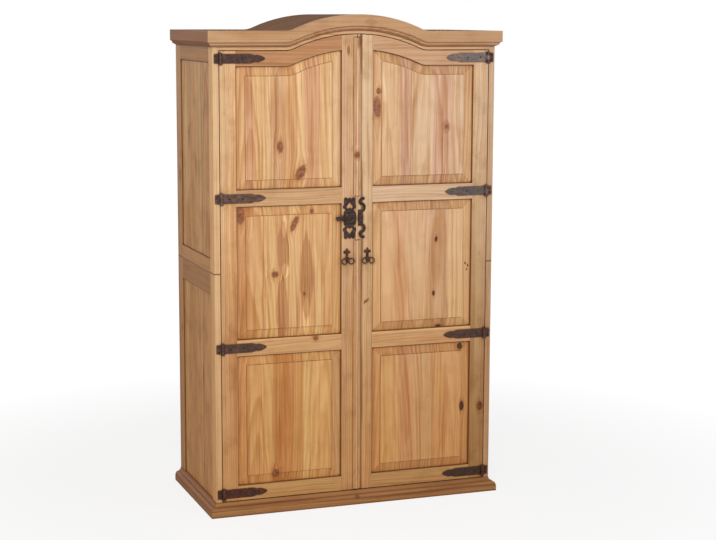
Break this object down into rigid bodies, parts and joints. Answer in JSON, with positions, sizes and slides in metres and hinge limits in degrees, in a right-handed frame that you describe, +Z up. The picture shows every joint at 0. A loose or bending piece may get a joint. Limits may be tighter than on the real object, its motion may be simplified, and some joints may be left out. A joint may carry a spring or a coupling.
{
  "type": "trastero cabinet",
  "caption": "Tall two-door pine trastero cabinet with a bonnet-arched cornice, raised door panels, iron strap hinges, a sliding surface bolt and hanging ring pulls.",
  "frame": {"origin": "on the floor, in the middle of the plinth's footprint", "axes": "+X to the right as seen from the front, the doors face -Y, +Z up"},
  "size_m": [1.236, 0.608, 1.984],
  "materials": {
    "pine_front": "waxed, aged",
    "pine_panel": "waxed, aged",
    "pine_side": "waxed, aged",
    "pine_moulding": "waxed, aged",
    "pine_inside": "waxed, aged",
    "forged_iron": "forged, dark wax"
  },
  "bodies": {
    "cabinet": {"plinth_front": "pine_moulding", "left_plinth": "pine_moulding", "right_plinth": "pine_moulding", "front_rail": "pine_front", "left_lower_stiles": "pine_side", "right_lower_stiles": "pine_side", "left_upper_stiles": "pine_side", "right_upper_stiles": "pine_side", "left_lower_rails": "pine_side", "right_lower_rails": "pine_side", "left_upper_rails": "pine_side", "right_upper_rails": "pine_side", "left_lower_panel": "pine_side", "right_lower_panel": "pine_side", "left_upper_panel": "pine_side", "right_upper_panel": "pine_side", "back_rails": "pine_inside", "back_upper_rail": "pine_inside", "back_head_rail": "pine_inside", "lower_back": "pine_inside", "upper_back": "pine_inside", "lower_boards": "pine_inside", "upper_bottom_board": "pine_inside", "shelves": "pine_inside", "cleats": "pine_inside", "head_board": "pine_front", "roof": "pine_inside", "cornice_front": "pine_moulding", "left_cornice": "pine_moulding", "right_cornice": "pine_moulding", "hinge_pins": "forged_iron", "left_hinge_leaves": "forged_iron", "right_hinge_leaves": "forged_iron"},
    "left_door": {"left_door_hinge_stile": "pine_front", "left_door_lock_stile": "pine_front", "left_door_top_rail": "pine_front", "left_door_rails": "pine_front", "left_door_bottom_panel": "pine_panel", "left_door_middle_panel": "pine_panel", "left_door_top_panel": "pine_panel", "left_meeting_strips": "pine_front", "left_straps": "forged_iron", "left_pull_plate": "forged_iron", "lock_plate": "forged_iron", "bolt_cover": "forged_iron"},
    "right_door": {"right_door_hinge_stile": "pine_front", "right_door_lock_stile": "pine_front", "right_door_top_rail": "pine_front", "right_door_rails": "pine_front", "right_door_bottom_panel": "pine_panel", "right_door_middle_panel": "pine_panel", "right_door_top_panel": "pine_panel", "right_meeting_strips": "pine_front", "right_straps": "forged_iron", "right_pull_plate": "forged_iron", "keeper": "forged_iron", "keeper_box": "forged_iron"},
    "bolt": {"bolt": "forged_iron"},
    "left_bail": {"left_bail": "forged_iron"},
    "right_bail": {"right_bail": "forged_iron"}
  },
  "joints": [
    {"name": "left_door_hinge", "type": "hinge", "parent": "cabinet", "child": "left_door", "pos_m": [-0.5615, -0.2853, 0.95], "axis": [0, 0, -1], "range_deg": [0, 170]},
    {"name": "right_door_hinge", "type": "hinge", "parent": "cabinet", "child": "right_door", "pos_m": [0.5615, -0.2853, 0.95], "axis": [0, 0, 1], "range_deg": [0, 170]},
    {"name": "bolt_slide", "type": "slide", "parent": "left_door", "child": "bolt", "axis": [1, 0, 0], "range_m": [0, 0.022]},
    {"name": "left_bail_swing", "type": "hinge", "parent": "left_door", "child": "left_bail", "pos_m": [-0.0435, -0.2915, 1.018], "axis": [-1, 0, 0], "range_deg": [0, 85]},
    {"name": "right_bail_swing", "type": "hinge", "parent": "right_door", "child": "right_bail", "pos_m": [0.0435, -0.2915, 1.018], "axis": [-1, 0, 0], "range_deg": [0, 85]}
  ]
}
